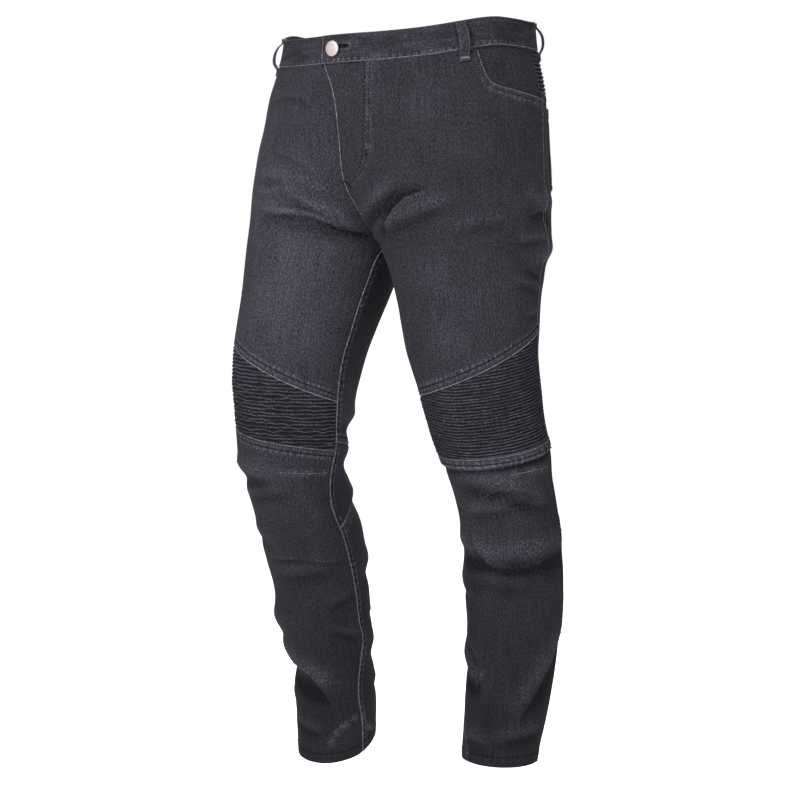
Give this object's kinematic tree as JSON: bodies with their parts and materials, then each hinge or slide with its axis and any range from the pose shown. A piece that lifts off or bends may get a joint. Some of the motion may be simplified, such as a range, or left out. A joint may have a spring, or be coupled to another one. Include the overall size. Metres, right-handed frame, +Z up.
{
  "type": "motorcycle trousers",
  "caption": "Grey-black denim motorcycle trousers in their worn shape, with ribbed stretch panels over the knees and at the back yoke.",
  "frame": {"origin": "middle of the waist opening, where the wearer holds the trousers up", "axes": "+Z up, -Y the way the wearer faces, +X the wearer's left"},
  "size_m": [0.4302, 0.345, 1.0483],
  "materials": {
    "denim": "washed grey-black twill denim, matt, with paler threads",
    "rib_denim": "ribbed stretch denim, matt",
    "button_metal": "pale satin metal"
  },
  "bodies": {
    "root": {"waistband": "denim", "front_left": "denim", "front_right": "denim", "pocket_facing_left": "denim", "pocket_facing_right": "denim", "yoke_left": "rib_denim", "yoke_right": "rib_denim", "back_thigh_left": "denim", "back_thigh_right": "denim", "back_pocket_left": "denim", "back_pocket_right": "denim", "knee_left": "rib_denim", "knee_right": "rib_denim", "shin_left": "denim", "shin_right": "denim", "back_knee_left": "denim", "back_knee_right": "denim", "calf_left": "denim", "calf_right": "denim", "belt_loop_front_left": "denim", "belt_loop_front_right": "denim", "belt_loop_back_left": "denim", "belt_loop_back_right": "denim", "belt_loop_centre_back": "denim", "button": "button_metal"}
  },
  "joints": []
}
